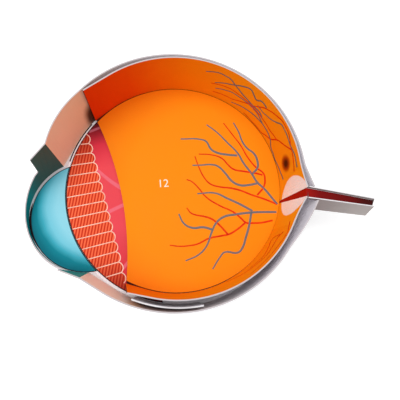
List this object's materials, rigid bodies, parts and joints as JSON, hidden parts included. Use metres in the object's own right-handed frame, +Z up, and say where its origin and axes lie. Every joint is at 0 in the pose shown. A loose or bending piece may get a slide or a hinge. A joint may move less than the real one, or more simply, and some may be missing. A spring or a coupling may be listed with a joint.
{
  "type": "eye anatomy model",
  "caption": "Half-eye anatomy model folded from printed card: nested shallow trays for the outer coat with the cornea and for the retina, with the optic nerve leading out at the back.",
  "frame": {"origin": "centre of the eyeball's outer wall, on the underside of the base board", "axes": "+X along the optical axis from the cornea to the back of the eye, +Z up out of the open side, +Y across the eye"},
  "size_m": [0.2097, 0.1562, 0.04],
  "materials": {
    "white_board": "matt white board",
    "white_card": "matt white card",
    "aqueous_print": "matt print, pale blue",
    "ciliary_print": "matt print, red stripes",
    "lens_print": "matt print, pink",
    "sclera_card": "matt printed card, salmon",
    "cornea_card": "matt printed card, dark teal",
    "foam_pad": "white foam",
    "retina_floor_print": "matt printed card, orange",
    "retina_wall_print": "matt printed card, deep orange",
    "optic_disc_print": "matt printed card, pale disc",
    "nerve_print": "matt print, dark red"
  },
  "bodies": {
    "shell": {"base_board": "white_board", "aqueous_sheet": "aqueous_print", "ciliary_sheet": "ciliary_print", "lens_sheet": "lens_print", "sclera_wall_upper": "sclera_card", "sclera_wall_lower": "sclera_card", "cornea_wall": "cornea_card", "support_strip": "white_card", "nerve_sheath": "white_card", "pad_front_upper": "foam_pad", "pad_front_lower": "foam_pad", "pad_back_upper": "foam_pad", "pad_back_lower": "foam_pad"},
    "retina_tray": {"retina_floor": "retina_floor_print", "retina_wall_upper": "retina_wall_print", "retina_wall_lower": "retina_wall_print", "optic_disc_upper": "optic_disc_print", "optic_disc_lower": "optic_disc_print", "nerve_strip": "nerve_print"}
  },
  "joints": [
    {"name": "tray_lift", "type": "slide", "parent": "shell", "child": "retina_tray", "axis": [0, 0, 1], "range_m": [0, 0.05]}
  ]
}
